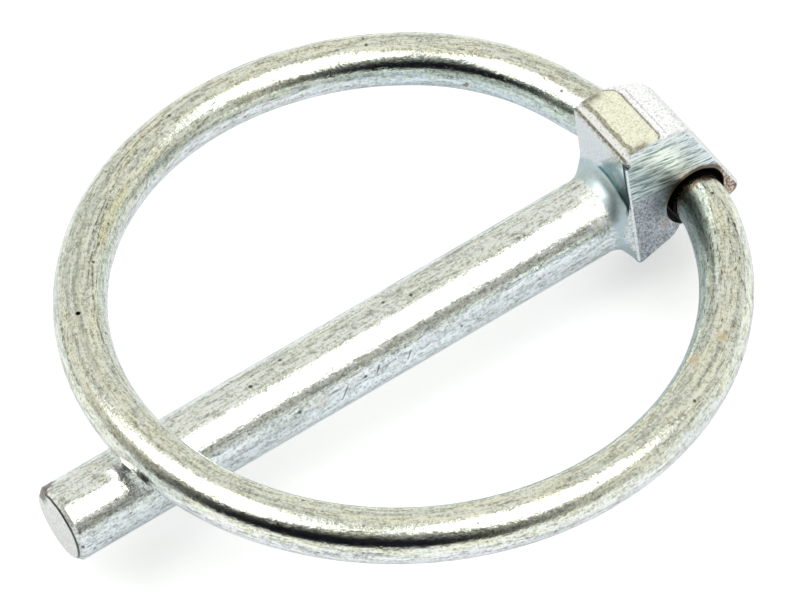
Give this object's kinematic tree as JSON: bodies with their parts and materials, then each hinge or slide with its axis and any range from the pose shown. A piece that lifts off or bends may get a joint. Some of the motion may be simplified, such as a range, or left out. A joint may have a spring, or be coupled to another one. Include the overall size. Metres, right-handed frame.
{
  "type": "lynch pin",
  "caption": "Linch pin: round shank with a forged, curled head and a sprung wire ring that swings in the head's eye and closes over the shank.",
  "frame": {"origin": "where the shank's axis meets the plane of the head's shoulder", "axes": "+X along the shank towards the tip, +Z towards the side that the closed ring lies on, +Y across the head along the eye"},
  "size_m": [0.0569, 0.0507, 0.0118],
  "materials": {
    "pin_plating": "bright zinc plate",
    "ring_plating": "bright zinc plate"
  },
  "bodies": {
    "pin": {"pin": "pin_plating"},
    "ring": {"ring": "ring_plating"}
  },
  "joints": [
    {"name": "ring_hinge", "type": "hinge", "parent": "pin", "child": "ring", "pos_m": [-0.0054, 0, 0.0003], "axis": [0, -1, 0], "range_deg": [0, 347]}
  ]
}
